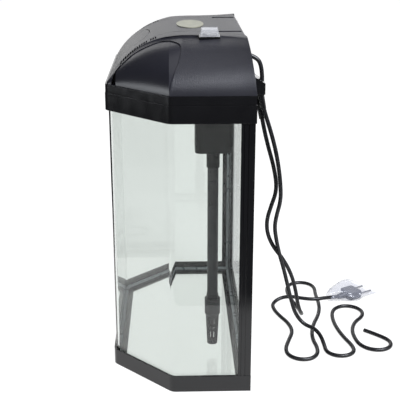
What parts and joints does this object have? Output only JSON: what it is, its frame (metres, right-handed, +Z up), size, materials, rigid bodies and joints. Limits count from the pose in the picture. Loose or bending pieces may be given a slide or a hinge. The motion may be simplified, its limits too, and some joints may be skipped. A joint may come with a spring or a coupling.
{
  "type": "aquarium with hood filter",
  "caption": "Bow-cornered glass aquarium with a hinged hood that holds a lamp and a filter tray, a pump on a riser with a strainer, and two mains cords.",
  "frame": {"origin": "on the floor, under the middle of the tank with its cable box (free cords and plugs left out)", "axes": "+X to the right of a viewer in front of the tank, +Y to its back, +Z up"},
  "size_m": [0.372, 0.3821, 0.4335],
  "materials": {
    "frame_plastic": "smooth, semi-gloss black",
    "hood_plastic": "finely grained satin, blue-black",
    "glass": "clear float glass, greenish edges",
    "silicone": "translucent sealant",
    "pin_steel": "drawn",
    "plaque": "satin, plain",
    "filter_plastic": "satin",
    "pump_plastic": "satin",
    "sponge": "open-cell foam",
    "ceramic": "porous, unglazed",
    "stator": "potted laminations",
    "magnet": "sintered ferrite",
    "impeller_plastic": "satin",
    "lamp_plastic": "satin white",
    "board": "white solder mask",
    "led": "phosphor under clear resin",
    "lens": "clear acrylic",
    "boot": "clear soft vinyl",
    "cord_sheath": "satin vinyl sheath",
    "plug_plastic": "moulded, semi-gloss",
    "plug_pin": "nickel plated"
  },
  "bodies": {
    "tank": {"base_frame": "frame_plastic", "glass_front": "glass", "glass_back": "glass", "glass_bottom": "glass", "silicone_floor": "silicone", "silicone_left": "silicone", "silicone_right": "silicone", "corner_post_left": "frame_plastic", "corner_post_right": "frame_plastic", "top_frame": "frame_plastic", "top_lip_front": "frame_plastic", "top_lip_left": "frame_plastic", "top_lip_right": "frame_plastic", "hood_frame": "frame_plastic", "hood_cover": "hood_plastic", "lid_hinge_pins": "pin_steel", "filter_tray": "filter_plastic", "filter_sponge": "sponge", "ceramic_rings": "ceramic", "spray_bar": "filter_plastic", "outlet_elbow": "filter_plastic", "pump_body": "pump_plastic", "motor_stator": "stator", "pump_inlet_cover": "pump_plastic", "pump_shaft": "pin_steel", "riser_tube": "filter_plastic", "lamp_housing": "lamp_plastic", "lamp_screws": "pin_steel", "lamp_board": "board", "lamp_leds": "led", "lamp_lens": "lens", "switch_bezel": "frame_plastic", "switch_boot": "boot", "cable_box": "frame_plastic", "cable_clamp": "frame_plastic", "lamp_lead": "cord_sheath", "lamp_lead_grommet": "cord_sheath", "pump_cord": "cord_sheath", "lamp_cord": "cord_sheath", "pump_plug": "plug_plastic", "pump_plug_pins": "plug_pin"},
    "lid": {"hood_lid": "hood_plastic", "lid_plaque": "plaque", "flap_hinge_pin": "pin_steel"},
    "flap": {"feeding_flap": "hood_plastic"},
    "rocker": {"switch_rocker": "frame_plastic"},
    "rotor": {"rotor_magnet": "magnet", "impeller": "impeller_plastic"},
    "intake": {"strainer": "filter_plastic"},
    "tray_cover": {"filter_tray_lid": "filter_plastic"}
  },
  "joints": [
    {"name": "lid_hinge", "type": "hinge", "parent": "tank", "child": "lid", "pos_m": [0, 0.0695, 0.41], "axis": [-1, 0, 0], "range_deg": [0, 100]},
    {"name": "flap_hinge", "type": "hinge", "parent": "lid", "child": "flap", "pos_m": [0, -0.0935, 0.37065], "axis": [1, 0, 0], "range_deg": [0, 100]},
    {"name": "switch_pivot", "type": "hinge", "parent": "tank", "child": "rocker", "pos_m": [0.10406, 0.026, 0.423], "axis": [0.9903, 0, -0.1392], "range_deg": [0, 16]},
    {"name": "impeller_spin", "type": "hinge", "parent": "tank", "child": "rotor", "pos_m": [0.1, 0.031, 0.295], "axis": [0, 0, 1], "continuous": true},
    {"name": "strainer_slip", "type": "slide", "parent": "tank", "child": "intake", "axis": [0, 0, -1], "range_m": [0, 0.012]},
    {"name": "tray_cover_lift", "type": "slide", "parent": "tank", "child": "tray_cover", "axis": [0, 0, 1], "range_m": [0, 0.009]}
  ]
}
